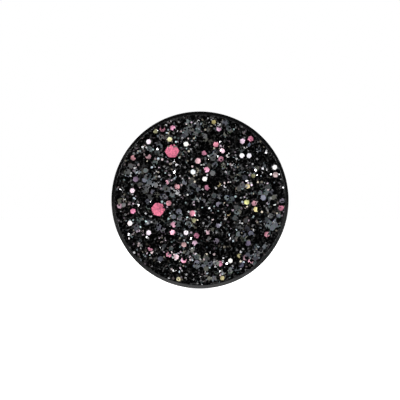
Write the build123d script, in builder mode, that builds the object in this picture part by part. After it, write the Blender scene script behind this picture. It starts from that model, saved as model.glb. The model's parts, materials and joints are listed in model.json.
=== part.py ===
"""Round enamel pin: a black-dyed struck tray filled with coarse glitter, two soldered posts, two clutches.

The face looks along -Y and +Z is up as worn. The origin is the centre of the tray's back face, so the
posts and their clutches stand out along +Y.
"""

import os
import random
from math import cos, dist, hypot, radians, sin

from build123d import *

os.makedirs("parts", exist_ok=True)

# Driving dimensions, mm
PIN_DIAMETER = 38.0
TRAY_THICKNESS = 1.9
RIM_WIDTH = 0.76
RIM_LAND = 0.08
RIM_FALL = 0.26
RECESS_DEPTH = 0.70
FLOOR_THICKNESS = 0.30
BED_THICKNESS = 0.15
FLAKE_THICKNESS = 0.06
FLAKE_ACROSS_FLATS = 1.12
LARGE_FLAKE_ACROSS_FLATS = 2.80
SMALL_FLAKE_ACROSS_FLATS = 0.80
FLAKE_GAP = 0.02  # least gap between neighbouring flakes
SCATTER_SEED = 5

POST_SPACING = 20.0
POST_RADIUS = 0.575
POST_LENGTH = 8.0
POST_FOOT_RADIUS = 1.10
POCKET_RADIUS = 1.50
POCKET_DEPTH = 0.30

CLOTH_GAP = 2.2  # from the back face to the clutch as the pin is worn
CLUTCH_RADIUS = 4.9
CLUTCH_SHEET = 0.30
CAP_RADIUS = 3.3
CAP_HEIGHT = 4.6
WING_SHEET = 0.35
WING_PIVOT = (3.25, 3.3)  # out from the post, up from the clutch's underside
JAW_CLEARANCE = 0.025

RADIUS = PIN_DIAMETER / 2
RECESS_RADIUS = RADIUS - RIM_WIDTH
FILL_RADIUS = RECESS_RADIUS - 0.02
FRONT = TRAY_THICKNESS
RECESS_FLOOR = FRONT - RECESS_DEPTH
FLOOR_TOP = RECESS_FLOOR + FLOOR_THICKNESS
BED_TOP = FLOOR_TOP + BED_THICKNESS
SIDES = {"left": -1, "right": 1}

# Where the flakes that catch the eye lie, across and up from the face's centre
LARGE_PINK_PLACES = [(-6, 10.5), (-9, -2)]
PEARL_PLACES = [
    (-11, 12.5), (-3, 12), (9, 9.5), (10.5, 9.5), (16, 7), (-1.5, 6), (1, 4.5), (-14.5, 2), (-15, -5),
    (-11, -7), (-3, -7), (6.5, -13),
]
CREAM_PLACES = [(-6.5, 13), (10, -0.5), (12, -2)]

# How many of the other flakes are scattered over the rest of the face
PINK_COUNT = 37
SMALL_PEARL_COUNT = 13
SMALL_CREAM_COUNT = 10
VIOLET_COUNT = 10
GREY_DRIFT_COUNT = 50
GREY_DRIFT_SPREAD = 1.4


def hand_in(builder, label):
    """Name a finished piece and write it out."""
    builder.part.label = label
    export_step(builder.part, f"parts/{label}.step")


def corner_radius(across_flats):
    """Distance from a hexagonal flake's middle to its corners."""
    return across_flats / 2 / cos(radians(30))


def lay_flakes(label, places, across_flats=FLAKE_ACROSS_FLATS, small_places=()):
    """Cut one colour of hexagonal flakes and lay them flat on the glitter bed, each turned its own way."""
    turns = 5
    with BuildPart() as flakes:
        with BuildSketch(Plane.XZ.offset(BED_TOP)):
            for spots, width in ((places, across_flats), (small_places, SMALL_FLAKE_ACROSS_FLATS)):
                for turn in range(turns):
                    if spots[turn::turns]:
                        with Locations(*spots[turn::turns]):
                            RegularPolygon(corner_radius(width), 6, rotation=turn * 60 / turns)
        extrude(amount=FLAKE_THICKNESS)
    hand_in(flakes, label)


def is_clear(spot, taken):
    """Whether a medium flake at this spot lies inside the rim and clear of every flake laid before it."""
    medium = corner_radius(FLAKE_ACROSS_FLATS)
    large = corner_radius(LARGE_FLAKE_ACROSS_FLATS)
    return (
        hypot(*spot) < RECESS_RADIUS - medium - FLAKE_GAP
        and all(dist(spot, other) > 2 * medium + FLAKE_GAP for other in taken)
        and all(dist(spot, other) > medium + large + FLAKE_GAP for other in LARGE_PINK_PLACES)
    )


def scattered(count, taken, chance):
    """Random clear spots for this many flakes, which are added to those taken."""
    spots = []
    while len(spots) < count:
        spot = (chance.uniform(-RECESS_RADIUS, RECESS_RADIUS), chance.uniform(-RECESS_RADIUS, RECESS_RADIUS))
        if is_clear(spot, taken):
            spots.append(spot)
            taken.append(spot)
    return spots


def drifted(drifts, taken, chance):
    """A middle flake and a ring of six for each of this many random drifts, leaving out those not clear."""
    ring = [(0, 0)] + [
        (GREY_DRIFT_SPREAD * cos(radians(60 * k)), GREY_DRIFT_SPREAD * sin(radians(60 * k))) for k in range(6)
    ]
    spots = []
    for _ in range(drifts):
        x, z = (chance.uniform(-RECESS_RADIUS, RECESS_RADIUS) for _ in range(2))
        for dx, dz in ring:
            spot = (x + dx, z + dz)
            if is_clear(spot, taken):
                spots.append(spot)
                taken.append(spot)
    return spots


# Struck tray: a flat plate with a narrow rim that slopes outward, and a shallow spot-faced pocket behind each post
with BuildPart() as tray:
    with BuildSketch(Plane.XY) as tray_profile:
        with BuildLine():
            Polyline(
                (0, 0),
                (RADIUS, 0),
                (RADIUS, -(TRAY_THICKNESS - RIM_FALL)),
                (RECESS_RADIUS + RIM_LAND, -TRAY_THICKNESS),
                (RECESS_RADIUS, -TRAY_THICKNESS),
                (RECESS_RADIUS, -RECESS_FLOOR),
                (0, -RECESS_FLOOR),
                close=True,
            )
        make_face()
        outer_corners = tray_profile.vertices().sort_by(Axis.X)[-2:].sort_by(Axis.Y)
        fillet(outer_corners[0], radius=0.20)
        fillet(outer_corners[1], radius=0.30)
    revolve(axis=Axis.Y)
    with BuildSketch(Plane.XZ):
        with Locations(*[(side * POST_SPACING / 2, 0) for side in SIDES.values()]):
            Circle(POCKET_RADIUS)
    extrude(amount=POCKET_DEPTH, mode=Mode.SUBTRACT)
hand_in(tray, "struck_tray")

# Black enamel floor poured in the recess
with BuildPart() as enamel_floor:
    with BuildSketch(Plane.XZ.offset(RECESS_FLOOR)):
        Circle(FILL_RADIUS)
    extrude(amount=FLOOR_THICKNESS)
hand_in(enamel_floor, "enamel_floor")

# Bed of fine black glitter bound in clear resin over the floor
with BuildPart() as glitter_bed:
    with BuildSketch(Plane.XZ.offset(FLOOR_TOP)):
        Circle(FILL_RADIUS)
    extrude(amount=BED_THICKNESS)
hand_in(glitter_bed, "black_glitter_bed")

chance = random.Random(SCATTER_SEED)
taken = PEARL_PLACES + CREAM_PLACES
lay_flakes("large_pink_flakes", LARGE_PINK_PLACES, LARGE_FLAKE_ACROSS_FLATS)
lay_flakes("pink_flakes", scattered(PINK_COUNT, taken, chance))
lay_flakes("silver_flakes", PEARL_PLACES, small_places=scattered(SMALL_PEARL_COUNT, taken, chance))
lay_flakes("gold_flakes", CREAM_PLACES, small_places=scattered(SMALL_CREAM_COUNT, taken, chance))
lay_flakes("violet_flakes", scattered(VIOLET_COUNT, taken, chance))
lay_flakes("grey_flakes", drifted(GREY_DRIFT_COUNT, taken, chance))

for side, sign in SIDES.items():
    at = sign * POST_SPACING / 2
    post_axis = Axis((at, 0, 0), (0, 1, 0))
    profile_plane = Plane((at, 0, 0))
    clutch_plane = Plane((at, CLOTH_GAP, 0))

    # Nail-like post: a flat foot in the pocket, a plain shank, a catch groove and a pointed tip
    with BuildPart() as post:
        with BuildSketch(profile_plane):
            with BuildLine():
                Polyline(
                    (0, -POCKET_DEPTH),
                    (POST_FOOT_RADIUS, -POCKET_DEPTH),
                    (POST_FOOT_RADIUS, -0.05),
                    (POST_RADIUS, -0.05),
                    (POST_RADIUS, POST_LENGTH - 1.75),
                    (POST_RADIUS - 0.13, POST_LENGTH - 1.62),
                    (POST_RADIUS - 0.13, POST_LENGTH - 1.42),
                    (POST_RADIUS, POST_LENGTH - 1.20),
                    (POST_RADIUS, POST_LENGTH - 1.00),
                    (0.32, POST_LENGTH - 0.45),
                    (0.04, POST_LENGTH),
                    (0, POST_LENGTH),
                    close=True,
                )
            make_face()
        revolve(axis=post_axis)
    hand_in(post, f"{side}_post")

    # Solder drawn up round the foot of the post
    with BuildPart() as solder:
        with BuildSketch(profile_plane):
            with BuildLine():
                Polyline(
                    (POST_RADIUS, 0.42),
                    (POST_RADIUS, -0.05),
                    (POST_FOOT_RADIUS, -0.05),
                    (POST_FOOT_RADIUS, -POCKET_DEPTH),
                    (POCKET_RADIUS - 0.02, -POCKET_DEPTH),
                    (POCKET_RADIUS - 0.06, -0.16),
                )
                Spline(
                    (POCKET_RADIUS - 0.06, -0.16),
                    (1.10, 0.06),
                    (0.72, 0.28),
                    (POST_RADIUS + 0.03, 0.42),
                )
                Line((POST_RADIUS + 0.03, 0.42), (POST_RADIUS, 0.42))
            make_face()
        revolve(axis=post_axis)
    hand_in(solder, f"{side}_solder")

    # Clutch base: a thin disc with a funnel that leads the post in, its edge rolled over the cap's brim
    with BuildPart() as clutch_base:
        with BuildSketch(clutch_plane) as base_profile:
            with BuildLine():
                Polyline(
                    (1.90, 0),
                    (CLUTCH_RADIUS, 0),
                    (CLUTCH_RADIUS, 0.92),
                    (4.15, 0.92),
                    (4.15, 0.64),
                    (4.60, 0.64),
                    (4.60, CLUTCH_SHEET),
                    (2.10, CLUTCH_SHEET),
                    (1.04, 1.20),
                    (0.80, 1.02),
                    close=True,
                )
            make_face()
            corners = base_profile.vertices()
            fillet(corners.sort_by(Axis.X)[-2:], radius=0.26)
        revolve(axis=post_axis)
    hand_in(clutch_base, f"{side}_clutch_base")

    # Clutch cap: a domed hat with a hole for the tip and a window for each wing
    with BuildPart() as clutch_cap:
        with BuildSketch(clutch_plane) as cap_profile:
            with BuildLine():
                Polyline(
                    (CAP_RADIUS - CLUTCH_SHEET, CLUTCH_SHEET),
                    (4.55, CLUTCH_SHEET),
                    (4.55, 2 * CLUTCH_SHEET),
                    (CAP_RADIUS, 2 * CLUTCH_SHEET),
                    (CAP_RADIUS, CAP_HEIGHT),
                    (0.90, CAP_HEIGHT),
                    (0.90, CAP_HEIGHT - CLUTCH_SHEET),
                    (CAP_RADIUS - CLUTCH_SHEET, CAP_HEIGHT - CLUTCH_SHEET),
                    close=True,
                )
            make_face()
            top_corners = cap_profile.vertices().group_by(Axis.Y)
            fillet(top_corners[-1].sort_by(Axis.X)[-1], radius=1.0)
            fillet(cap_profile.vertices().group_by(Axis.Y)[-2].sort_by(Axis.X)[-1], radius=0.7)
        revolve(axis=post_axis)
        with Locations((at, CLOTH_GAP + 3.25, 0)):
            Box(2 * CAP_RADIUS + 1, 1.7, 3.6, mode=Mode.SUBTRACT)
    hand_in(clutch_cap, f"{side}_clutch_cap")

    # Wings: sprung levers that run from a notched jaw at the post, out of a window, to a raised thumb tab
    for outward, wing_name in ((sign, "outer"), (-sign, "inner")):
        wing_plane = Plane((at, CLOTH_GAP, 0), x_dir=(outward, 0, 0), z_dir=(0, 0, outward))
        with BuildPart() as wing:
            with BuildSketch(wing_plane):
                with BuildLine():
                    Spline(
                        (0.22, 1.95),
                        (1.70, 2.80),
                        WING_PIVOT,
                        (4.30, 3.55),
                        (5.30, 4.40),
                        (5.75, 5.60),
                        tangents=[(1, 0.55), (0.1, 1)],
                    )
                trace(line_width=WING_SHEET)
            extrude(amount=2.3, both=True)
            with BuildSketch(Plane((at, CLOTH_GAP, 0), x_dir=(outward, 0, 0), z_dir=(0, 1, 0))):
                with Locations((2.30, 0)):
                    Rectangle(4.6, 3.0)
                with Locations((5.30, 0)):
                    RectangleRounded(2.6, 4.6, 1.1)
            extrude(amount=8, mode=Mode.INTERSECT)
            with Locations(Location((at, CLOTH_GAP + 2, 0), (90, 0, 0))):
                Cylinder(POST_RADIUS + JAW_CLEARANCE, 4, mode=Mode.SUBTRACT)
        hand_in(wing, f"{side}_{wing_name}_wing")
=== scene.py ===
"""Visual model of a round enamel pin: glitter face, black struck tray, posts and butterfly clutches.

Laid out as an add-on and run as a script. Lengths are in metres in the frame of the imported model: the
face looks along -Y, the posts stand along +Y and +Z is up.
"""

import json
import math
import random

import bmesh
import bpy
import numpy as np
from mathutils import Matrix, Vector, noise


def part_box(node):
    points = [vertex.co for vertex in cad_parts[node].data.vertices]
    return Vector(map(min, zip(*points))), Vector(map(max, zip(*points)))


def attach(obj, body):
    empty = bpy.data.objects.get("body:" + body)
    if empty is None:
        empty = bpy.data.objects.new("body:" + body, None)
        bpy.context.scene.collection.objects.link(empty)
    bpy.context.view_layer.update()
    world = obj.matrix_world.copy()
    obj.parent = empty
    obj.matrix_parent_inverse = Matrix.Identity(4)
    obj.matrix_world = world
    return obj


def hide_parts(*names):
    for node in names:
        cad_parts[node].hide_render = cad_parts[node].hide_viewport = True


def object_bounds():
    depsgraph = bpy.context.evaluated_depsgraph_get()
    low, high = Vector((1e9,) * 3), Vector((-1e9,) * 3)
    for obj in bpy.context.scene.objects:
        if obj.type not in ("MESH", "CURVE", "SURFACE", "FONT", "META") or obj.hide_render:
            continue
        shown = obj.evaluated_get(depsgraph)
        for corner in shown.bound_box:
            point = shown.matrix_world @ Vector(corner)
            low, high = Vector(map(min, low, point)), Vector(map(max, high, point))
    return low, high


bl_info = {
    "name": "Glitter enamel pin",
    "version": (1, 0, 0),
    "blender": (4, 5, 0),
    "location": "View3D > Sidebar > Pin",
    "description": "Builds a glitter-filled enamel pin with its posts and clutches around the packed frame",
    "category": "Object",
}

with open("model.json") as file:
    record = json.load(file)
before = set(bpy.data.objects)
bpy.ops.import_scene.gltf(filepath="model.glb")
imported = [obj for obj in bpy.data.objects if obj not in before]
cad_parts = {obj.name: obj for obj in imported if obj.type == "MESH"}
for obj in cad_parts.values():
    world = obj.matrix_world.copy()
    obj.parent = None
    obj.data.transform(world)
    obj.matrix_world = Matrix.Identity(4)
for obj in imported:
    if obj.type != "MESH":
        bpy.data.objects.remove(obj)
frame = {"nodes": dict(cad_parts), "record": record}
CAD_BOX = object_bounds()

MM = 0.001
SIDES = {"left": -1, "right": 1}
FACE_BODY = "pin_face"
BED_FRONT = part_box("black_glitter_bed")[0].y
BED_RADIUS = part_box("black_glitter_bed")[1].x
FLAKE_ROOM = BED_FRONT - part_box("struck_tray")[0].y
POST_RADIUS = next(m["dims"]["r_mm"] for m in frame["record"]["mounts"] if m["name"] == "left_post")

# share of the fine flakes, and the darkest and lightest of that share; the lighter shares are partly grey
# flakes and partly painted glints on black film
FINE_TONES_AND_PAINTED_GLINTS = (
    (0.79, 0.0001, 0.0004), (0.05, 0.002, 0.02), (0.07, 0.02, 0.12), (0.06, 0.12, 0.45), (0.03, 0.45, 0.95),
)
FINE_HUES = (
    (1, 1, 1), (0.86, 1.0, 1.12), (1.1, 1.0, 0.8), (0.8, 1.04, 1.06), (1.12, 0.9, 1.08), (1.15, 0.92, 0.95),
)
GREY_HUES = (
    (1, 1, 1), (1, 1, 1), (0.94, 1.0, 1.08), (1.05, 1.03, 0.86), (0.88, 1.03, 1.03), (0.95, 0.96, 1.15),
)
# drifts in the fine glitter: how strong and how wide
DRIFT_STRENGTH, DRIFT_SIZE = 0.45, 4.5 * MM
# further out than the first, no fine flake is lighter than the second
RIM_BAND, RIM_LIGHTEST = 0.93 * BED_RADIUS, 0.12
# a flake narrower than this share of a medium one is a small one
SMALL_SHARE = 0.9
# small cream flakes are drawn this much wider, and the medium ones this much brighter
CREAM_WIDER, CREAM_BRIGHTER = 1.25, 2.4
# how far from the middle of a large pink or a medium pearl flake the black flakes keep
FINE_FROM_LARGE, COVER_FROM_LARGE, COVER_FROM_PEARL = 1.15 * MM, 1.6 * MM, 0.9 * MM
# the fine flakes round a large flake's edge: how many, then how far out and how uneven, against its width
CROWD, CROWD_OUT, CROWD_SPREAD = 24, 0.575, 0.015
# how far apart the black covers and the lone grey flakes may lie, and the share of the places they take
SPARSE_SPACING, COVER_SHARE, LONE_SHARE = 1.9 * MM, 0.5, 0.14

# wings, in millimetres out from the post and up from the clutch's underside
WING_PATH = ((0.22, 1.95), (1.70, 2.80), (3.25, 3.30), (4.30, 3.55), (5.30, 4.40), (5.75, 5.60))
# half widths of the neck and tab, radii of the tab's corner and the notch, and the sheet's thickness
WING_NECK, WING_TAB, WING_CORNER, WING_NOTCH, WING_SHEET = 1.5, 2.3, 1.1, 0.62, 0.35
FLARE_START, FLARE_RUN, TAB_CURL = 4.15, 0.75, 0.22
RIB_START, RIB_HEIGHT, RIB_WIDTH = 1.2, 0.13, 0.42
GRIP_DEPTH, GRIP_PITCH, GRIP_LENGTH = 0.07, 0.45, 2.0

# lights in front of the face: their places across and up, the one place along Y and the one width
FRONT_LIGHTS = {"key": (-0.16, 0.13), "fill": (0.19, 0.06), "kicker": (0.03, -0.17)}
FRONT_LIGHTS_ALONG, FRONT_LIGHT_WIDTH = -0.66, 0.09
# lights above and behind: place, width and power
BACK_LIGHTS = {
    "top": ((0.0, 0.20, 0.55), 0.4, 1.5),
    "back_left": ((-0.40, 0.50, 0.30), 0.30, 2.6),
    "back_right": ((0.50, 0.35, 0.12), 0.16, 1.0),
}
FLOOR_RADIUS, FLOOR_SIDES, FLOOR_GLOW_REACH = 1.6, 64, 0.12


def linear(red, green, blue):
    """A colour given in 0 to 255 display values, as linear light."""
    return tuple(
        c / 255 / 12.92 if c <= 10 else ((c / 255 + 0.055) / 1.055) ** 2.4 for c in (red, green, blue)
    )


# ---------------------------------------------------------------- settings


class PinGlitterSettings(bpy.types.PropertyGroup):
    """Sizes and colours of the glitter that fills the face."""

    fine_size: bpy.props.FloatProperty(
        name="Fine flake", description="Width of a fine black flake across its flats",
        default=0.44 * MM, min=0.1 * MM, max=1 * MM, unit="LENGTH",
    )
    medium_size: bpy.props.FloatProperty(
        name="Medium flake", description="Width of a coloured or grey flake across its flats",
        default=1.12 * MM, min=0.4 * MM, max=2 * MM, unit="LENGTH",
    )
    glint_share: bpy.props.FloatProperty(
        name="Glints", description="Share of the fine flakes that are bright metallised film",
        default=0.06, min=0.0, max=1.0, subtype="FACTOR",
    )
    large_size: bpy.props.FloatProperty(
        name="Large flake", description="Width of a large pink flake across its flats",
        default=2.8 * MM, min=1 * MM, max=4 * MM, unit="LENGTH",
    )
    seed: bpy.props.IntProperty(name="Seed", description="Seed of the scatter of the flakes", default=11)
    pink: bpy.props.FloatVectorProperty(
        name="Pink film", description="Colour of the pink flakes", subtype="COLOR",
        default=linear(186, 119, 140),
    )
    large_pink: bpy.props.FloatVectorProperty(
        name="Large pink film", description="Colour of the large pink flakes", subtype="COLOR",
        default=linear(212, 112, 138),
    )
    silver: bpy.props.FloatVectorProperty(
        name="Pearl film", description="Colour of the pearl white flakes", subtype="COLOR",
        default=linear(255, 246, 249),
    )
    gold: bpy.props.FloatVectorProperty(
        name="Cream film", description="Colour of the cream and gold flakes", subtype="COLOR",
        default=linear(158, 152, 112),
    )
    violet: bpy.props.FloatVectorProperty(
        name="Violet film", description="Colour of the dark violet flakes", subtype="COLOR",
        default=linear(84, 84, 99),
    )
    smoke: bpy.props.FloatVectorProperty(
        name="Smoke film", description="Middle colour of the smoke-grey flakes", subtype="COLOR",
        default=linear(82, 83, 84),
    )


class PinMetalSettings(bpy.types.PropertyGroup):
    """Finishes of the metal pieces."""

    tray_black: bpy.props.FloatVectorProperty(
        name="Tray black", description="Colour of the dyed tray", subtype="COLOR",
        default=(0.0035, 0.0035, 0.0037),
    )
    brass: bpy.props.FloatVectorProperty(
        name="Brass", description="Colour of the clutches", subtype="COLOR", default=(0.66, 0.43, 0.17),
    )
    nickel: bpy.props.FloatVectorProperty(
        name="Nickel", description="Colour of the plated posts", subtype="COLOR", default=(0.62, 0.60, 0.57),
    )
    tin: bpy.props.FloatVectorProperty(
        name="Solder", description="Colour of the solder", subtype="COLOR", default=(0.42, 0.42, 0.43),
    )


class PinStageSettings(bpy.types.PropertyGroup):
    """Floor, lights and camera."""

    floor: bpy.props.FloatVectorProperty(
        name="Floor", description="Colour of the floor", subtype="COLOR", default=(0.86, 0.86, 0.86),
    )
    floor_glow: bpy.props.FloatProperty(
        name="Floor glow", description="Light given off near the pin", default=1.9,
    )
    key_power: bpy.props.FloatProperty(
        name="Key light", description="Power of the light up and to the left", default=2.0, unit="POWER",
    )
    fill_power: bpy.props.FloatProperty(
        name="Fill light", description="Power of the light to the right", default=1.4, unit="POWER",
    )
    kicker_power: bpy.props.FloatProperty(
        name="Kicker light", description="Power of the light below", default=0.7, unit="POWER",
    )
    lens: bpy.props.FloatProperty(name="Lens", description="Focal length in millimetres", default=200.0)
    frame_width: bpy.props.FloatProperty(
        name="Frame width", description="Width that the camera takes in at the face",
        default=85.73 * MM, unit="LENGTH",
    )


# ---------------------------------------------------------------- shader node groups


def group(name, inputs, outputs):
    """An empty shader node group with these sockets, and its input and output nodes."""
    tree = bpy.data.node_groups.new(name, "ShaderNodeTree")
    for label, kind, default in inputs:
        socket = tree.interface.new_socket(label, in_out="INPUT", socket_type=kind)
        socket.default_value = default
    for label, kind in outputs:
        tree.interface.new_socket(label, in_out="OUTPUT", socket_type=kind)
    return tree, tree.nodes.new("NodeGroupInput"), tree.nodes.new("NodeGroupOutput")


def node(tree, kind, links=None, **values):
    """A node with its settings and input values, and links from other sockets to its inputs."""
    made = tree.nodes.new(kind)
    for key, value in values.items():
        if hasattr(made, key):
            setattr(made, key, value)
        else:
            made.inputs[key.replace("_", " ")].default_value = value
    for key, socket in (links or {}).items():
        tree.links.new(socket, made.inputs[key])
    return made


def arithmetic(tree, operation, *terms):
    """The result of a math node on terms that are sockets or plain numbers."""
    made = node(tree, "ShaderNodeMath", operation=operation)
    for entry, term in zip(made.inputs, terms):
        if isinstance(term, bpy.types.NodeSocket):
            tree.links.new(term, entry)
        else:
            entry.default_value = term
    return made.outputs[0]


def about_one(tree, factor, contrast):
    """A factor between 0 and 1 as a shade that varies about 1 by a contrast."""
    swing = arithmetic(tree, "MULTIPLY", arithmetic(tree, "SUBTRACT", factor, 0.5), contrast)
    return arithmetic(tree, "ADD", swing, 1.0)


def ramp(tree, factor, stops):
    """A colour ramp of grey stops: (position, value)."""
    made = tree.nodes.new("ShaderNodeValToRGB")
    made.color_ramp.elements[0].position = stops[0][0]
    made.color_ramp.elements[1].position = stops[-1][0]
    for position, _ in stops[1:-1]:
        made.color_ramp.elements.new(position)
    for element, (_, value) in zip(made.color_ramp.elements, stops):
        element.color = (value, value, value, 1)
    tree.links.new(factor, made.inputs[0])
    return made.outputs["Color"]


def texture(tree, kind, given, **values):
    """A procedural texture in the object's own space, at the scale given to its group."""
    place = node(tree, "ShaderNodeTexCoord")
    return node(tree, kind, {"Vector": place.outputs["Object"], "Scale": given.outputs["Scale"]}, **values)


def grain_group():
    """Fine even grain, with a height for bumps and a shade for colour and roughness."""
    tree, given, out = group(
        "Fine grain",
        [("Scale", "NodeSocketFloat", 4000.0), ("Contrast", "NodeSocketFloat", 0.3)],
        [("Height", "NodeSocketFloat"), ("Shade", "NodeSocketFloat")],
    )
    grains = texture(tree, "ShaderNodeTexNoise", given, Detail=4.0, Roughness=0.6)
    tree.links.new(grains.outputs["Fac"], out.inputs["Height"])
    tree.links.new(about_one(tree, grains.outputs["Fac"], given.outputs["Contrast"]), out.inputs["Shade"])
    return tree


def wear_group():
    """Edges rubbed through to a lighter colour."""
    tree, given, out = group(
        "Worn edges",
        [("Base", "NodeSocketColor", (0, 0, 0, 1)), ("Worn", "NodeSocketColor", (1, 1, 1, 1)),
         ("Amount", "NodeSocketFloat", 0.5), ("Scale", "NodeSocketFloat", 900.0)],
        [("Color", "NodeSocketColor")],
    )
    geometry = node(tree, "ShaderNodeNewGeometry")
    edges = ramp(tree, geometry.outputs["Pointiness"], [(0.53, 0.0), (0.60, 1.0)])
    patches = texture(tree, "ShaderNodeTexNoise", given, Detail=5.0)
    patchy = ramp(tree, patches.outputs["Fac"], [(0.42, 0.0), (0.62, 1.0)])
    rubbed = arithmetic(tree, "MULTIPLY", edges, patchy)
    mask = arithmetic(tree, "MULTIPLY", rubbed, given.outputs["Amount"])
    mixed = node(tree, "ShaderNodeMix",
                 {0: mask, 6: given.outputs["Base"], 7: given.outputs["Worn"]}, data_type="RGBA")
    tree.links.new(mixed.outputs[2], out.inputs["Color"])
    return tree


def scratches_group():
    """Short fine scratches that run mostly one way, as on handled plated metal."""
    tree, given, out = group(
        "Handling marks",
        [("Scale", "NodeSocketFloat", 1500.0), ("Stretch", "NodeSocketVector", (1.0, 0.12, 1.0))],
        [("Height", "NodeSocketFloat"), ("Mask", "NodeSocketFloat")],
    )
    place = node(tree, "ShaderNodeTexCoord")
    drawn = node(tree, "ShaderNodeVectorMath",
                 {0: place.outputs["Object"], 1: given.outputs["Stretch"]}, operation="MULTIPLY")
    lines = node(tree, "ShaderNodeTexNoise", {"Vector": drawn.outputs[0], "Scale": given.outputs["Scale"]},
                 Detail=3.0, Distortion=0.4)
    mask = ramp(tree, lines.outputs["Fac"], [(0.55, 0.0), (0.70, 1.0)])
    tree.links.new(lines.outputs["Fac"], out.inputs["Height"])
    tree.links.new(mask, out.inputs["Mask"])
    return tree


def film_group():
    """The cloudy, faintly creased look of cut metallised film, tinted flake by flake."""
    tree, given, out = group(
        "Glitter film",
        [("Cloudiness", "NodeSocketFloat", 0.25), ("Scale", "NodeSocketFloat", 3500.0)],
        [("Color", "NodeSocketColor"), ("Roughness", "NodeSocketFloat"), ("Height", "NodeSocketFloat")],
    )
    tint = node(tree, "ShaderNodeAttribute", attribute_name="tint")
    cloud = texture(tree, "ShaderNodeTexNoise", given, Detail=3.0)
    creases = texture(tree, "ShaderNodeTexVoronoi", given, feature="DISTANCE_TO_EDGE")
    level = about_one(tree, cloud.outputs["Fac"], given.outputs["Cloudiness"])
    shade = node(tree, "ShaderNodeVectorMath", {0: tint.outputs["Color"], "Scale": level}, operation="SCALE")
    tree.links.new(shade.outputs[0], out.inputs["Color"])
    tree.links.new(ramp(tree, cloud.outputs["Fac"], [(0.3, 0.12), (0.7, 0.24)]), out.inputs["Roughness"])
    tree.links.new(creases.outputs["Distance"], out.inputs["Height"])
    return tree


GROUPS = {}


def effect(tree, name, **values):
    """Places a shared effect in a material with its own values."""
    made = tree.nodes.new("ShaderNodeGroup")
    made.node_tree = GROUPS[name]
    for key, value in values.items():
        made.inputs[key].default_value = value
    return made


def shader(name, **values):
    """A material with a Principled BSDF set to these values: (material, node tree, shader node)."""
    material = bpy.data.materials.new(name)
    material.use_nodes = True
    tree = material.node_tree
    bsdf = tree.nodes["Principled BSDF"]
    for key, value in values.items():
        bsdf.inputs[key.replace("_", " ")].default_value = value
    return material, tree, bsdf


def bump(tree, bsdf, height, strength, depth):
    """Raises the surface's detail by a height, over a depth in metres."""
    made = node(tree, "ShaderNodeBump", {"Height": height}, Strength=strength, Distance=depth)
    tree.links.new(made.outputs[0], bsdf.inputs["Normal"])


def film_material(name, metallic, cloudiness, ior=1.14):
    """Glitter film, with each flake's own tint."""
    material, tree, bsdf = shader(name, Metallic=metallic, IOR=ior)
    film = effect(tree, "film", Cloudiness=cloudiness)
    tree.links.new(film.outputs["Color"], bsdf.inputs["Base Color"])
    tree.links.new(film.outputs["Roughness"], bsdf.inputs["Roughness"])
    bump(tree, bsdf, film.outputs["Height"], 0.1, 0.01 * MM)
    return material


def metal_material(name, colour, roughness, worn, marks=0.12):
    """Plated or polished metal with grain, handling marks and worn edges."""
    material, tree, bsdf = shader(name, Metallic=1.0)
    wear = effect(tree, "wear", Base=(*colour, 1), Worn=(*worn, 1), Amount=0.6)
    grain = effect(tree, "grain", Scale=3000.0, Contrast=0.25)
    scratches = effect(tree, "scratches", Scale=1400.0)
    tree.links.new(wear.outputs["Color"], bsdf.inputs["Base Color"])
    even = arithmetic(tree, "MULTIPLY", grain.outputs["Shade"], roughness)
    marked = arithmetic(tree, "MULTIPLY_ADD", scratches.outputs["Mask"], marks, even)
    tree.links.new(marked, bsdf.inputs["Roughness"])
    bump(tree, bsdf, scratches.outputs["Height"], 0.12, 0.01 * MM)
    return material


def build_groups():
    """Makes each shared effect once."""
    GROUPS.update(grain=grain_group(), wear=wear_group(), scratches=scratches_group(), film=film_group())


# ---------------------------------------------------------------- turned and pressed metal


def rounded(corners, steps=5):
    """An outline through corners given as (out, up, radius), each corner turned by an arc of its radius."""
    outline = []
    for i, (out, up, radius) in enumerate(corners):
        here = Vector((out, up))
        if not radius:
            outline.append(tuple(here))
            continue
        back = (Vector(corners[i - 1][:2]) - here).normalized()
        ahead = (Vector(corners[(i + 1) % len(corners)][:2]) - here).normalized()
        half = back.angle(ahead) / 2
        middle = here + (back + ahead).normalized() * radius / math.sin(half)
        first = here + back * radius / math.tan(half) - middle
        last = here + ahead * radius / math.tan(half) - middle
        for step in range(steps + 1):
            spoke = first.lerp(last, step / steps).normalized() * radius
            outline.append(tuple(middle + spoke))
    return outline


def fit_piece(name, data, body, replaced):
    """Puts mesh data in the scene as a piece that rides on a body and may stand for CAD nodes."""
    piece = bpy.data.objects.new(name, data)
    bpy.context.scene.collection.objects.link(piece)
    if replaced:
        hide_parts(*replaced)
    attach(piece, body)
    return piece


def finish_mesh(name, mesh, material, body, replaced, angle=40):
    """Turns mesh data into a smooth-shaded piece that rides on a body and stands for CAD nodes.

    material is one material, or several that the mesh's faces already choose between.
    """
    mesh.normal_update()
    data = bpy.data.meshes.new(name)
    mesh.to_mesh(data)
    mesh.free()
    for each in material if isinstance(material, tuple) else (material,):
        data.materials.append(each)
    data.shade_smooth()
    data.set_sharp_from_angle(angle=math.radians(angle))
    return fit_piece(name, data, body, replaced)


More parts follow.
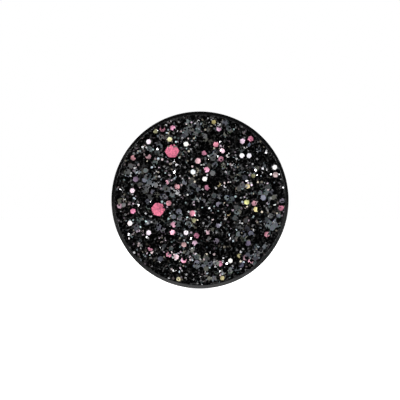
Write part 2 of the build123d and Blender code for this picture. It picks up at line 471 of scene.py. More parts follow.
def turned(outline, at=0.0, segments=96, shape=None):
    """A closed outline of (out, along) points in millimetres, turned about the line along Y at x = at.

    Points at no distance out become poles. shape(angle, out, along) gives a point's new (out, along).
    """
    mesh = bmesh.new()
    rings = []
    for out, along in outline:
        if out < 1e-6:
            rings.append([mesh.verts.new((at, along * MM, 0))])
            continue
        ring = []
        for k in range(segments):
            angle = math.tau * k / segments
            reach, rise = shape(angle, out, along) if shape else (out, along)
            spot = (at + reach * MM * math.cos(angle), rise * MM, reach * MM * math.sin(angle))
            ring.append(mesh.verts.new(spot))
        rings.append(ring)
    for one, two in zip(rings, rings[1:] + rings[:1]):
        if len(one) == 1 and len(two) == 1:
            continue
        for k in range(segments):
            onward = k + 1
            corners = [one[k % len(one)], one[onward % len(one)], two[onward % len(two)], two[k % len(two)]]
            mesh.faces.new(list(dict.fromkeys(corners)))
    bmesh.ops.recalc_face_normals(mesh, faces=mesh.faces)
    return mesh


def spread(first, last, steps):
    """Evenly spaced outline corners from first to last, both left out."""
    return [
        tuple(a + (b - a) * k / (steps + 1) for a, b in zip(first, last)) + (0,) for k in range(1, steps + 1)
    ]


def cut_windows(piece, at, low, high, half_width, reach, corner=0.35):
    """Cuts a rounded window through a cap on both sides of its post, between two heights."""
    cutter = bmesh.new()
    bmesh.ops.create_cube(cutter, size=1)
    bmesh.ops.scale(cutter, vec=(2 * reach * MM, (high - low) * MM, 2 * half_width * MM), verts=cutter.verts)
    lengthwise = [e for e in cutter.edges if abs(e.verts[0].co.x - e.verts[1].co.x) > reach * MM]
    bmesh.ops.bevel(cutter, geom=lengthwise, offset=corner * MM, segments=5, affect="EDGES", profile=0.5)
    bmesh.ops.translate(cutter, vec=(at, (low + high) / 2 * MM, 0), verts=cutter.verts)
    data = bpy.data.meshes.new("window")
    cutter.to_mesh(data)
    cutter.free()
    tool = bpy.data.objects.new("window", data)
    bpy.context.scene.collection.objects.link(tool)
    cut = piece.modifiers.new("windows", "BOOLEAN")
    cut.object, cut.operation, cut.solver = tool, "DIFFERENCE", "EXACT"
    shaped = piece.evaluated_get(bpy.context.evaluated_depsgraph_get())
    result = bpy.data.meshes.new_from_object(shaped)
    piece.modifiers.clear()
    piece.data = result
    bpy.data.objects.remove(tool)
    result.shade_smooth()
    result.set_sharp_from_angle(angle=math.radians(35))


def wing_sheet(at, outward, underside):
    """The middle surface of a wing: jaw notched round the post, ribbed neck, flared and curled thumb tab."""
    path = [Vector(p) for p in WING_PATH]
    line, steps = [], 24
    held = [path[0], *path, path[-1]]
    for before, start, end, after in zip(held, held[1:], held[2:], held[3:]):
        for step in range(steps):
            t = step / steps
            line.append(0.5 * (
                2 * start + (end - before) * t + (2 * before - 5 * start + 4 * end - after) * t ** 2
                + (3 * start - before - 3 * end + after) * t ** 3
            ))
    line.append(path[-1])
    along = [0.0]
    for one, two in zip(line, line[1:]):
        along.append(along[-1] + (two - one).length)
    total, rows, columns = along[-1], 40, 20
    mesh = bmesh.new()
    grid = []
    for column in range(columns + 1):
        side = column / columns * 2 - 1
        z = side * WING_NECK
        notch = math.sqrt(max(0.0, WING_NOTCH ** 2 - z * z))
        first = next(d for p, d in zip(line, along) if p.x >= max(notch, path[0].x))
        verts = []
        for row in range(rows + 1):
            here = first + (total - first) * row / rows
            point, normal = on_line(line, along, here)
            flare = smooth_step((point.x - FLARE_START) / FLARE_RUN)
            width = WING_NECK + (WING_TAB - WING_NECK) * flare
            to_end = total - here
            if to_end < WING_CORNER:
                left = WING_CORNER - max(0.0, to_end)
                width -= WING_CORNER - math.sqrt(WING_CORNER ** 2 - left ** 2)
            rib = RIB_HEIGHT * math.exp(-(z / RIB_WIDTH) ** 2) * smooth_step((point.x - RIB_START) / 0.6)
            rib *= 1 - flare
            grips = GRIP_DEPTH * math.sin(to_end / GRIP_PITCH * math.tau)
            grips *= smooth_step((GRIP_LENGTH - to_end) / 0.3)
            grips *= smooth_step((to_end - 0.35) / 0.2) * smooth_step((1 - abs(side)) / 0.25)
            curl = TAB_CURL * flare * side ** 4
            point = point + normal * (rib + grips + curl)
            spot = (at + outward * point.x * MM, (underside + point.y) * MM, side * width * MM)
            verts.append(mesh.verts.new(spot))
        grid.append(verts)
    for one, two in zip(grid, grid[1:]):
        for k in range(rows):
            mesh.faces.new((one[k], one[k + 1], two[k + 1], two[k]))
    bmesh.ops.recalc_face_normals(mesh, faces=mesh.faces)
    return mesh


def smooth_step(value):
    """0 below 0, 1 above 1 and a smooth rise between."""
    t = min(1.0, max(0.0, value))
    return t * t * (3 - 2 * t)


def on_line(line, along, distance):
    """The point at a distance along a polyline, and the line's normal there."""
    for k in range(len(line) - 1):
        if along[k + 1] >= distance - 1e-9:
            step = (line[k + 1] - line[k]).normalized()
            return line[k] + step * (distance - along[k]), Vector((-step.y, step.x))
    step = (line[-1] - line[-2]).normalized()
    return line[-1], Vector((-step.y, step.x))


# ---------------------------------------------------------------- flakes


def flake_places(name):
    """The middle of each flake of a CAD node, across and up the face, and its width across flats."""
    mesh = bmesh.new()
    mesh.from_mesh(frame["nodes"][name].data)
    bmesh.ops.remove_doubles(mesh, verts=mesh.verts, dist=0.001 * MM)
    seen, places = set(), []
    for first in mesh.verts:
        if first in seen:
            continue
        island, edge = [], [first]
        seen.add(first)
        while edge:
            vert = edge.pop()
            island.append(vert.co.copy())
            for link in vert.link_edges:
                other = link.other_vert(vert)
                if other not in seen:
                    seen.add(other)
                    edge.append(other)
        middle = sum(island, Vector()) / len(island)
        corner = max(math.hypot(co.x - middle.x, co.z - middle.z) for co in island)
        places.append((middle.x, middle.z, 2 * corner * math.cos(math.pi / 6)))
    mesh.free()
    return sorted(places)


def flake(x, z, lift, size, tint, *, lean, rng, thick=0.05 * MM, edge=None, painted_shading=0.0):
    """One flake: its place, height over the bed, width across flats, colour and how far it leans.

    The shading value lightens the side of the flake that its lean points to and darkens the other: painted
    highlight and painted shade. An edge colour lighter than the tint paints a highlight on the flake's sides
    and bevel. No flake stands proud of the tray's rim.
    """
    radius = size / 2 / math.cos(math.pi / 6)
    steepest = math.asin(min(1.0, max(0.0, (FLAKE_ROOM - lift - thick / 2) / radius)))
    return {
        "at": (x, BED_FRONT - lift, z), "radius": radius, "thick": thick,
        "tint": tint, "edge": edge or tint, "painted_shading": painted_shading,
        "turn": rng.uniform(0, math.tau), "lean": min(lean, steepest), "toward": rng.uniform(0, math.tau),
        "chips": [rng.uniform(0.93, 1.0) for _ in range(6)],
    }


def scatter(radius, spacing, rng, jitter=0.42):
    """Places on an uneven triangular lattice within a circle."""
    rows = int(radius / (spacing * math.sqrt(3) / 2)) + 1
    places = []
    for row in range(-rows, rows + 1):
        for column in range(-rows - 1, rows + 2):
            x = (column + (row % 2) / 2 + rng.uniform(-jitter, jitter)) * spacing
            z = (row * math.sqrt(3) / 2 + rng.uniform(-jitter, jitter)) * spacing
            if math.hypot(x, z) < radius:
                places.append((x, z))
    return places


def lay(name, flakes, material, replaced=(), chamfer=0.0):
    """Builds flakes as one piece of small six-sided plates that lie in the face.

    A chamfer, in metres, bevels the outer 0.4 of a plate's thickness.
    """
    step = np.arange(6) * math.pi / 3
    rings = 3 if chamfer else 2
    verts = np.zeros((len(flakes), rings * 6, 3))
    tints = np.ones((len(flakes), rings * 6, 4))
    for i, f in enumerate(flakes):
        toward, lean = f["toward"], f["lean"]
        axis = Vector((math.cos(toward), 0, math.sin(toward)))
        normal = (Vector((0, -1, 0)) * math.cos(lean) + axis * math.sin(lean)).normalized()
        across = Vector((0, 0, 1)).cross(normal).normalized()
        up = normal.cross(across)
        angles = step + f["turn"]
        reach = f["radius"] * np.array(f["chips"])
        flat = np.outer(np.cos(angles) * reach, across) + np.outer(np.sin(angles) * reach, up)
        top = np.array(f["at"]) + np.array(normal) * f["thick"] / 2
        bottom = top - np.array(normal) * f["thick"]
        levels = [bottom + flat, top + flat]
        if chamfer:
            levels = [bottom + flat, top + flat - np.array(normal) * f["thick"] * 0.4,
                      top + flat * (1 - chamfer / f["radius"])]
        verts[i] = np.concatenate(levels)
        # sides and bevel take the edge colour, a painted edge highlight where it is lighter than the tint;
        # the top takes the tint, lighter towards the side the flake leans to and darker on the other: painted
        # highlight and painted shade
        tints[i, :, :3] = f["edge"]
        tints[i, -6:, :3] = np.outer(1 + f["painted_shading"] * np.cos(angles - toward), f["tint"]).clip(0, 1)
    faces = []
    ring = range(6)
    for i in range(len(flakes)):
        start = i * rings * 6
        faces.append([start + 5 - k for k in ring])
        for level in range(rings - 1):
            low, high = start + level * 6, start + level * 6 + 6
            faces.extend([low + k, low + (k + 1) % 6, high + (k + 1) % 6, high + k] for k in ring)
        faces.append([start + (rings - 1) * 6 + k for k in ring])
    mesh = bpy.data.meshes.new(name)
    mesh.from_pydata(verts.reshape(-1, 3), [], faces)
    colours = mesh.attributes.new("tint", "FLOAT_COLOR", "POINT")
    colours.data.foreach_set("color", tints.ravel())
    mesh.materials.append(material)
    fit_piece(name, mesh, FACE_BODY, replaced)


def varied(colour, rng, varying, hue=0.06):
    """A colour somewhat lighter or darker, with each channel a little off."""
    level = math.exp(rng.gauss(0, varying))
    return tuple(min(1.0, max(0.0, c * level * (1 + rng.gauss(0, hue)))) for c in colour)


def fine_tint(rng, x, z):
    """Colour of a fine flake: mostly black, in drifts, with some dark grey and a few pale or with a hue. The
    lighter ones are partly grey flakes and partly painted glints on black film.
    """
    drift = DRIFT_STRENGTH * noise.noise(Vector((x, 1, z)) / DRIFT_SIZE)
    draw, level = rng.random() - max(0.0, drift), 0.0003
    for share, low, high in FINE_TONES_AND_PAINTED_GLINTS:
        if 0 < draw < share:
            level = math.exp(rng.uniform(math.log(low), math.log(high)))
            break
        draw -= share
    if math.hypot(x, z) > RIM_BAND:
        level = min(level, RIM_LIGHTEST)
    return tuple(level * h for h in rng.choice(FINE_HUES))


def is_small(width, glitter):
    """Whether a flake is one of the small ones, which lie on edge, half buried or dull."""
    return width < SMALL_SHARE * glitter.medium_size


def near(places, x, z, reach):
    """Whether a point lies within reach of any of some places, all in metres."""
    return any(math.hypot(x - px, z - pz) < reach for px, pz, *_ in places)


# ---------------------------------------------------------------- pieces


def paint(name, material):
    """Gives a CAD node its finish."""
    slots = frame["nodes"][name].data.materials
    slots.clear()
    slots.append(material)


class PIN_OT_turn_tray(bpy.types.Operator):
    """Turn the struck tray, with its raised back border, and dye it black"""

    bl_idname = "pin.turn_tray"
    bl_label = "Turn tray"

    def execute(self, context):
        metal = context.scene.pin_metal
        satin, tree, bsdf = shader("Black dyed metal", Metallic=0.0, IOR=1.4)
        grain = effect(tree, "grain", Scale=5200.0, Contrast=0.5)
        wear = effect(tree, "wear", Base=(*metal.tray_black, 1), Worn=(0.05, 0.05, 0.052, 1), Amount=0.5)
        tree.links.new(wear.outputs["Color"], bsdf.inputs["Base Color"])
        tree.links.new(arithmetic(tree, "MULTIPLY", grain.outputs["Shade"], 0.17), bsdf.inputs["Roughness"])
        bump(tree, bsdf, grain.outputs["Height"], 0.12, 0.01 * MM)

        struck, tree, bsdf = shader("Struck black back", Metallic=0.0, IOR=1.4)
        grain = effect(tree, "grain", Scale=1900.0, Contrast=0.9)
        tone = node(tree, "ShaderNodeVectorMath", {"Scale": grain.outputs["Shade"]}, operation="SCALE")
        tone.inputs[0].default_value = tuple(1.6 * c for c in metal.tray_black)
        tree.links.new(tone.outputs[0], bsdf.inputs["Base Color"])
        tree.links.new(arithmetic(tree, "MULTIPLY", grain.outputs["Shade"], 0.42), bsdf.inputs["Roughness"])
        bump(tree, bsdf, grain.outputs["Height"], 0.9, 0.22 * MM)

        low, high = (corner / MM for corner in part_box("struck_tray"))
        radius, front, recess = high.x, low.y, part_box("enamel_floor")[1].y / MM
        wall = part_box("enamel_floor")[1].x / MM + 0.02
        rim_drop, seam, seam_depth = 0.26, -0.68, 0.035
        field, field_back = radius - 1.45, -0.07
        outline = rounded([
            (0, recess, 0), *spread((0, recess), (wall, recess), 8), (wall, recess, 0.1),
            (wall, front, 0.04), (wall + 0.08, front, 0.08), (radius, front + rim_drop, 0.22),
            (radius, seam - 0.04, 0), (radius - seam_depth, seam, 0), (radius, seam + 0.04, 0),
            (radius, 0, 0.32), (field + 0.1, 0, 0.08), (field, field_back, 0.08),
            *spread((field, field_back), (0, field_back), 16), (0, field_back, 0),
        ])
        mesh = turned(outline, segments=192)
        for face in mesh.faces:
            middle = face.calc_center_median()
            if middle.y > -0.1 * MM and math.hypot(middle.x, middle.z) < field * MM:
                face.material_index = 1
        finish_mesh("struck_tray_shell", mesh, (satin, struck), FACE_BODY,
                    ["struck_tray"], angle=50)
        return {"FINISHED"}


class PIN_OT_finish_floor(bpy.types.Operator):
    """Finish the enamel floor and the bed of glitter over it"""

    bl_idname = "pin.finish_floor"
    bl_label = "Finish enamel floor"

    def execute(self, context):
        enamel, tree, bsdf = shader(
            "Black enamel", Roughness=0.25, IOR=1.5, Base_Color=(0.006, 0.006, 0.007, 1),
        )
        grain = effect(tree, "grain", Scale=900.0, Contrast=0.4)
        bump(tree, bsdf, grain.outputs["Height"], 0.2, 0.02 * MM)
        paint("enamel_floor", enamel)
        bed, tree, bsdf = shader("Bound black glitter", Roughness=0.3, IOR=1.15)
        place = node(tree, "ShaderNodeTexCoord")
        cells = node(tree, "ShaderNodeTexVoronoi", {"Vector": place.outputs["Object"]}, Scale=3600.0)
        shade = ramp(tree, cells.outputs["Color"], [(0.3, 0.001), (0.75, 0.012), (1.0, 0.06)])
        tree.links.new(shade, bsdf.inputs["Base Color"])
        bump(tree, bsdf, cells.outputs["Distance"], 0.8, 0.05 * MM)
        paint("black_glitter_bed", bed)
        return {"FINISHED"}


class PIN_OT_lay_black_glitter(bpy.types.Operator):
    """Lay the fine black glitter, below and between the coloured flakes"""

    bl_idname = "pin.lay_black_glitter"
    bl_label = "Lay black glitter"

    def execute(self, context):
        glitter = context.scene.pin_glitter
        rng = random.Random(glitter.seed)
        matte = film_material("Black glitter film", 0.0, 0.4, ior=1.04)
        bright = film_material("Bright black glitter film", 0.75, 0.4, ior=1.3)
        reach = BED_RADIUS - 0.08 * MM
        large = flake_places("large_pink_flakes")
        layers = {
            "black_glitter_lower": (0.40 * MM, (0.02, 0.10), 1.0),
            "black_glitter_upper": (0.42 * MM, (0.10, 0.20), 0.30),
        }
        glints = []
        for name, (spacing, lifts, share) in layers.items():
            flakes = []
            for x, z in scatter(reach, spacing, rng):
                if rng.random() > share or near(large, x, z, FINE_FROM_LARGE):
                    continue
                made = flake(
                    x, z, rng.uniform(*lifts) * MM, glitter.fine_size * rng.uniform(0.75, 1.15),
                    fine_tint(rng, x, z), lean=abs(rng.gauss(0, 0.28)), thick=0.03 * MM, rng=rng,
                )
                if rng.random() < glitter.glint_share:
                    level = 0.04 + 0.6 * rng.random() ** 3
                    glints.append(made | {"tint": (level, level, 1.03 * level), "edge": (level,) * 3})
                else:
                    flakes.append(made)
            lay(name, flakes, matte)
        lay("black_glitter_glints", glints, bright)
        pearls = [p for p in flake_places("silver_flakes") if not is_small(p[2], glitter)]
        # the scattered black covers' sides and bevels are lighter than their faces: a painted edge highlight
        covers = [
            flake(x, z, rng.uniform(0.17, 0.21) * MM, glitter.medium_size * rng.uniform(0.6, 0.95),
                  (0.0004, 0.0004, 0.0005), lean=abs(rng.gauss(0, 0.06)), edge=(0.03, 0.03, 0.032), rng=rng)
            for x, z in scatter(reach, SPARSE_SPACING, rng)
            if rng.random() < COVER_SHARE
            and not near(large, x, z, COVER_FROM_LARGE) and not near(pearls, x, z, COVER_FROM_PEARL)
        ]
        for x, z, _ in large:
            for _ in range(CROWD):
                turn, out = rng.uniform(0, math.tau), glitter.large_size * rng.gauss(CROWD_OUT, CROWD_SPREAD)
                covers.append(flake(
                    x + out * math.cos(turn), z + out * math.sin(turn), rng.uniform(0.15, 0.2) * MM,
                    glitter.fine_size * rng.uniform(0.8, 1.1), (0.0005, 0.0005, 0.0005), lean=0.15, rng=rng,
                ))
        lay("black_glitter_covers", covers, matte, chamfer=0.04 * MM)
        return {"FINISHED"}


class PIN_OT_lay_grey_flakes(bpy.types.Operator):
    """Lay the drifts of smoke-grey flakes"""

    bl_idname = "pin.lay_grey_flakes"
    bl_label = "Lay grey flakes"

    def execute(self, context):
        glitter = context.scene.pin_glitter
        rng = random.Random(glitter.seed + 1)
        reach = BED_RADIUS - 0.6 * MM
        shift, stray, twin_share = 0.15, 0.9, 0.75
        places = []
        for x, z, _ in flake_places("grey_flakes"):
            places.append((x + rng.gauss(0, shift) * MM, z + rng.gauss(0, shift) * MM))
            if rng.random() < twin_share:
                places.append((x + rng.gauss(0, stray) * MM, z + rng.gauss(0, stray) * MM))
        places += [p for p in scatter(reach, SPARSE_SPACING, rng) if rng.random() < LONE_SHARE]
        flakes = []
        for x, z in places:
            if math.hypot(x, z) > reach:
                continue
            level = math.exp(rng.gauss(-0.1, 0.4))
            tint = tuple(c * level * h for c, h in zip(glitter.smoke, rng.choice(GREY_HUES)))
            # some flakes' sides and bevels are drawn lighter than their faces: a painted edge highlight
            edge = tuple(min(0.6, c * rng.choice([1.0, 1.2, 2.2])) for c in tint)
            flakes.append(flake(
                x, z, rng.uniform(0.06, 0.14) * MM, glitter.medium_size * rng.uniform(0.9, 1.04),
                tint, lean=abs(rng.gauss(0, 0.10)), edge=edge, rng=rng,
            ))
        film = film_material("Smoke film", 0.0, 0.5, ior=1.1)
        lay("smoke_grey_flakes", flakes, film, ["grey_flakes"], chamfer=0.06 * MM)
        return {"FINISHED"}


class PIN_OT_lay_coloured_flakes(bpy.types.Operator):
    """Lay the pink, pearl, cream and violet flakes"""

    bl_idname = "pin.lay_coloured_flakes"
    bl_label = "Lay coloured flakes"

    def execute(self, context):
        glitter = context.scene.pin_glitter
        rng = random.Random(glitter.seed + 2)
        # CAD node, metallic, cloudiness, spread of the tints, fading towards pale, width against the CAD's
        films = {
            "pink": ("pink_flakes", 0.05, 0.8, 0.28, 0.7, 1.0),
            "silver": ("silver_flakes", 0.0, 0.2, 0.05, 0.1, 0.92),
            "gold": ("gold_flakes", 0.05, 0.8, 0.30, 0.1, 0.92),
            "violet": ("violet_flakes", 0.1, 0.6, 0.35, 0.1, 0.98),
        }
        for colour, (cad_node, metallic, cloudiness, varying, fading, fit) in films.items():
            base, pale = Vector(getattr(glitter, colour)), Vector((0.75, 0.62, 0.66))
            flakes = []
            for x, z, width in flake_places(cad_node):
                size = width * fit * rng.uniform(0.92, 1.06)
                tint = varied(base.lerp(pale, rng.random() ** 2 * fading), rng, varying)
                lift, lean = rng.uniform(0.11, 0.17) * MM, abs(rng.gauss(0, 0.10))
                if is_small(width, glitter):
                    if colour == "silver":
                        lift, lean = rng.choice([(-0.1 * MM, 1.15), (0.02 * MM, 0.35)])
                    else:
                        size *= CREAM_WIDER
                elif colour in ("silver", "gold"):
                    lift = 0.2 * MM
                    tint = tuple((CREAM_BRIGHTER if colour == "gold" else 1.0) * c for c in tint)
                # painted highlight and painted shade: each flake lighter on the side it leans to, darker on
                # the other
                painted_shading = 0.1 if colour == "silver" else 0.45
                flakes.append(flake(x, z, lift, size, tint, lean=lean, painted_shading=painted_shading, rng=rng))
            film = film_material(f"{colour.capitalize()} film", metallic, cloudiness)
            lay(f"{colour}_film_flakes", flakes, film, [cad_node], chamfer=0.06 * MM)
        tint = tuple(glitter.large_pink)
        # painted highlight and painted shade: each large flake lighter on the side it leans to, darker on the
        # other
        large = [
            flake(x, z, 0.13 * MM, glitter.large_size, tint, lean=0.03, painted_shading=0.25, rng=rng)
            for x, z, _ in flake_places("large_pink_flakes")
        ]
        film = film_material("Large pink film", 0.05, 2.2)
        lay("large_pink_film_flakes", large, film, ["large_pink_flakes"], chamfer=0.1 * MM)
        return {"FINISHED"}


class PIN_OT_set_posts(bpy.types.Operator):
    """Turn the two posts and draw the solder up round their feet"""

    bl_idname = "pin.set_posts"
    bl_label = "Set posts"

    def execute(self, context):
        metal = context.scene.pin_metal
        nickel = metal_material("Nickel plate", metal.nickel, 0.32, (0.8, 0.78, 0.75))
        tin = metal_material("Tin solder", metal.tin, 0.42, (0.6, 0.6, 0.6))
        shank, head, head_thick = POST_RADIUS, 1.1, 0.25
        neck = shank - 0.13
        for side, sign in SIDES.items():
            low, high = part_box(f"{side}_post")
            at, foot, tip = (low.x + high.x) / 2, low.y / MM, high.y / MM
            outline = rounded([
                (0, foot, 0), (head, foot, 0.03), (head, foot + head_thick, 0.03),
                (shank, foot + head_thick, 0.02), (shank, tip - 1.75, 0.08), (neck, tip - 1.62, 0.05),
                (neck, tip - 1.42, 0.05), (shank, tip - 1.20, 0.08), (shank, tip - 1.0, 0.12),
                (0.32, tip - 0.45, 0.2), (0.07, tip - 0.02, 0.03), (0, tip, 0),
            ])
            finish_mesh(f"{side}_nail_post", turned(outline, at, 64), nickel, FACE_BODY,
                        [f"{side}_post"], angle=50)

            def flowed(angle, out, along):
                """Solder that ran a little further on some sides."""
                waves = math.sin(2 * angle + sign) + 0.6 * math.sin(5 * angle + 2 * sign)
                waves += 0.3 * math.sin(9 * angle)
                share = smooth_step((out - shank) / 0.6)
                return out + 0.05 * share * waves, along

            outline = rounded([
                (shank - 0.02, foot + 0.02, 0), (1.42, foot + 0.02, 0), (1.44, -0.09, 0), (1.42, -0.055, 0),
                (1.30, -0.03, 0.05), (1.05, 0.07, 0.1), (0.84, 0.18, 0.1), (0.70, 0.31, 0.1),
                (0.63, 0.44, 0.03), (shank - 0.02, 0.46, 0),
            ])
            finish_mesh(f"{side}_solder_fillet", turned(outline, at, 64, flowed), tin,
                        FACE_BODY, [f"{side}_solder"], angle=60)
        return {"FINISHED"}


class PIN_OT_fit_clutches(bpy.types.Operator):
    """Press the butterfly clutches: dimpled base, windowed cap and two ribbed wings"""

    bl_idname = "pin.fit_clutches"
    bl_label = "Fit clutches"

    def execute(self, context):
        metal = context.scene.pin_metal
        rubbed = (0.9, 0.72, 0.45)
        brass = metal_material("Polished brass", metal.brass, 0.2, rubbed)
        spring = metal_material("Spring brass", tuple(0.95 * c for c in metal.brass), 0.28, rubbed)
        dimples, dimple_ring, sheet, roll, roll_end, bore = 8, 3.35, 0.3, 0.92, 0.64, 0.9
        hat, hat_inside, brim = 3.3, 3.0, 4.55
        for side, sign in SIDES.items():
            low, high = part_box(f"{side}_clutch_base")
            at, under, radius = (low.x + high.x) / 2, low.y / MM, (high.x - low.x) / 2 / MM
            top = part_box(f"{side}_clutch_cap")[1].y / MM

            def dimpled(angle, out, along):
                """Raised dimples on the side towards the cloth, and faint crimps round the rolled edge."""
                turn = (angle / math.tau * dimples) % 1 - 0.5
                apart = math.hypot(turn * math.tau / dimples * out, out - dimple_ring)
                press = crimp = 0
                if out < 4.4 and along < under + 0.45:
                    press = 0.13 * math.exp(-(apart / 0.30) ** 2)
                if out > 4.4 and along > under + 0.7:
                    crimp = 0.025 * (0.5 + 0.5 * math.cos(24 * angle))
                return out - crimp, along - press

            outline = rounded([
                (1.90, under, 0.15), *spread((1.95, under), (radius - 0.5, under), 14),
                (radius, under, 0.26), (radius, under + roll, 0.26),
                (4.15, under + roll, 0.08), (4.15, under + roll_end, 0.04),
                (4.60, under + roll_end, 0.04), (4.60, under + sheet, 0.04),
                *spread((radius - 0.35, under + sheet), (2.15, under + sheet), 14),
                (2.10, under + sheet, 0.12), (1.04, under + 1.08, 0.08), (0.80, under + 0.90, 0.08),
            ])
            finish_mesh(f"{side}_clutch_disc", turned(outline, at, 128, dimpled), brass,
                        f"{side}_clutch", [f"{side}_clutch_base"])

            outline = rounded([
                (hat_inside, under + sheet, 0), (brim, under + sheet, 0.04), (brim, under + 0.6, 0.08),
                (hat, under + 0.6, 0.2), (hat, top, 0.95), (1.75, top, 0.1), (1.62, top - 0.1, 0.1),
                (bore, top - 0.1, 0.1), (bore, top - 0.4, 0.06), (1.72, top - 0.4, 0.1),
                (1.85, top - sheet, 0.1), (hat_inside, top - sheet, 0.68),
            ], steps=8)
            cap = finish_mesh(f"{side}_clutch_hat", turned(outline, at, 128), brass,
                              f"{side}_clutch", [f"{side}_clutch_cap"])
            cut_windows(cap, at, low=under + 2.4, high=under + 4.1, half_width=1.8, reach=4.0)

            for name, outward in (("outer", sign), ("inner", -sign)):
                wing = finish_mesh(f"{side}_{name}_spring_wing", wing_sheet(at, outward, under), spring,
                                   f"{side}_{name}_wing", [f"{side}_{name}_wing"])
                solid = wing.modifiers.new("sheet", "SOLIDIFY")
                solid.thickness, solid.offset = WING_SHEET * MM, 0.0
                edges = wing.modifiers.new("edges", "BEVEL")
                edges.width, edges.segments, edges.limit_method = 0.07 * MM, 2, "ANGLE"
                edges.angle_limit = math.radians(50)
        return {"FINISHED"}


# ---------------------------------------------------------------- stage


def area_light(name, at, target, size, power):
    """A soft square light aimed at a point."""
    lamp = bpy.data.lights.new(name, "AREA")
    lamp.size, lamp.energy = size, power
    light = bpy.data.objects.new(name, lamp)
    light.location = at
    light.rotation_euler = (Vector(target) - Vector(at)).to_track_quat("-Z", "Y").to_euler()
    light.visible_camera = False
    bpy.context.scene.collection.objects.link(light)


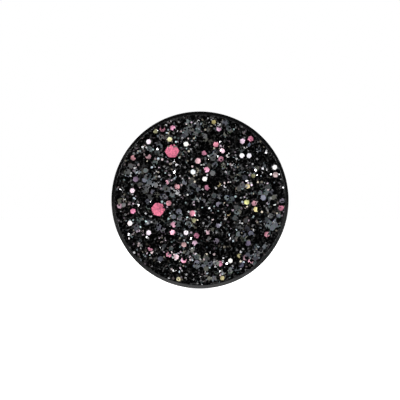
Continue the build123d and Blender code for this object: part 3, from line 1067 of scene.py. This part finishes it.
class PIN_OT_set_stage(bpy.types.Operator):
    """Set the floor, the lights, the surroundings and the camera"""

    bl_idname = "pin.set_stage"
    bl_label = "Set stage"

    def execute(self, context):
        stage = context.scene.pin_stage
        scene = context.scene
        scene.view_settings.view_transform = "Standard"
        low = CAD_BOX[0]
        centre = Vector((0, low.y, 0))

        mesh = bpy.data.meshes.new("floor")
        turns = [math.tau * k / FLOOR_SIDES for k in range(FLOOR_SIDES)]
        verts = [(FLOOR_RADIUS * math.cos(t), FLOOR_RADIUS * math.sin(t), low.z - 0.02 * MM) for t in turns]
        mesh.from_pydata(verts, [], [list(range(FLOOR_SIDES))])
        floor = bpy.data.objects.new("floor", mesh)
        scene.collection.objects.link(floor)
        material, tree, bsdf = shader("Pale floor", Roughness=0.9, Base_Color=(*stage.floor, 1))
        place = node(tree, "ShaderNodeTexCoord")
        length = node(tree, "ShaderNodeVectorMath", {0: place.outputs["Object"]}, operation="LENGTH")
        away = node(tree, "ShaderNodeMapRange", {"Value": length.outputs["Value"]}, From_Max=FLOOR_GLOW_REACH)
        seen = ramp(tree, away.outputs[0], [(0.17, 0.85), (1.0, 1.0)])
        # painted glow: to all rays but the camera's the floor gives off light, strongest under and right
        # round the pin, where it lights the rim's lower edge
        given = ramp(tree, away.outputs[0],
                     [(0.0, 1.0), (0.165, 1.0), (0.19, 0.4), (0.23, 0.06), (1.0, 0.01)])
        strong = node(tree, "ShaderNodeVectorMath", {0: given}, operation="SCALE", Scale=stage.floor_glow)
        path = node(tree, "ShaderNodeLightPath")
        glow = node(tree, "ShaderNodeMix",
                    {0: path.outputs["Is Camera Ray"], 6: strong.outputs[0], 7: seen}, data_type="RGBA")
        tree.links.new(glow.outputs[2], bsdf.inputs["Emission Color"])
        bsdf.inputs["Emission Strength"].default_value = 1.0
        mesh.materials.append(material)

        world = bpy.data.worlds.new("Studio")
        world.use_nodes = True
        scene.world = world
        tree = world.node_tree
        tree.nodes.clear()
        place = node(tree, "ShaderNodeTexCoord")
        parts = node(tree, "ShaderNodeSeparateXYZ", {0: place.outputs["Generated"]})
        behind = node(tree, "ShaderNodeMapRange", {"Value": parts.outputs["Y"]}, From_Min=-1.0)
        level = ramp(tree, behind.outputs[0],
                     [(0.0, 0.02), (0.45, 0.04), (0.62, 0.16), (0.8, 0.30), (1.0, 0.14)])
        room = node(tree, "ShaderNodeBackground", {"Color": level})
        white = node(tree, "ShaderNodeBackground", Color=(1, 1, 1, 1))
        path = node(tree, "ShaderNodeLightPath")
        pick = node(tree, "ShaderNodeMixShader",
                    {0: path.outputs["Is Camera Ray"], 1: room.outputs[0], 2: white.outputs[0]})
        node(tree, "ShaderNodeOutputWorld", {"Surface": pick.outputs[0]})

        for name, (across, up) in FRONT_LIGHTS.items():
            at, power = (across, FRONT_LIGHTS_ALONG, up), getattr(stage, f"{name}_power")
            area_light(f"{name}_light", at, centre, FRONT_LIGHT_WIDTH, power)
        for name, (at, width, power) in BACK_LIGHTS.items():
            area_light(f"{name}_light", at, centre, width, power)

        camera = bpy.data.cameras.new("camera")
        camera.lens, camera.sensor_width = stage.lens, 36.0
        camera.clip_start, camera.clip_end = 0.01, 10.0
        eye = bpy.data.objects.new("camera", camera)
        distance = stage.frame_width * stage.lens / camera.sensor_width
        eye.location = (0, low.y + 0.4 * MM - distance, 0)
        eye.rotation_euler = (math.pi / 2, 0, 0)
        scene.collection.objects.link(eye)
        scene.camera = eye
        return {"FINISHED"}


# ---------------------------------------------------------------- add-on

OPERATORS = (
    PIN_OT_turn_tray,
    PIN_OT_finish_floor,
    PIN_OT_lay_black_glitter,
    PIN_OT_lay_grey_flakes,
    PIN_OT_lay_coloured_flakes,
    PIN_OT_set_posts,
    PIN_OT_fit_clutches,
    PIN_OT_set_stage,
)


class PIN_PT_sidebar(bpy.types.Panel):
    """Lists the pieces and their settings"""

    bl_idname = "PIN_PT_sidebar"
    bl_label = "Glitter enamel pin"
    bl_space_type = "VIEW_3D"
    bl_region_type = "UI"
    bl_category = "Pin"

    def draw(self, context):
        for name in ("pin_glitter", "pin_metal", "pin_stage"):
            settings = getattr(context.scene, name)
            box = self.layout.box()
            for key in settings.__annotations__:
                box.prop(settings, key)
        for operator in OPERATORS:
            self.layout.operator(operator.bl_idname)


SETTINGS = {"pin_glitter": PinGlitterSettings, "pin_metal": PinMetalSettings, "pin_stage": PinStageSettings}
CLASSES = (*SETTINGS.values(), *OPERATORS, PIN_PT_sidebar)


def register():
    """Registers the classes and adds the settings to the scene."""
    for cls in CLASSES:
        bpy.utils.register_class(cls)
    for name, cls in SETTINGS.items():
        setattr(bpy.types.Scene, name, bpy.props.PointerProperty(type=cls))


def unregister():
    """Takes the settings and classes away again."""
    for name in SETTINGS:
        delattr(bpy.types.Scene, name)
    for cls in reversed(CLASSES):
        bpy.utils.unregister_class(cls)


def main():
    """Builds the pin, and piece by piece."""
    register()
    build_groups()
    for operator in OPERATORS:
        family, action = operator.bl_idname.split(".")
        getattr(getattr(bpy.ops, family), action)()


if __name__ == "__main__":
    main()
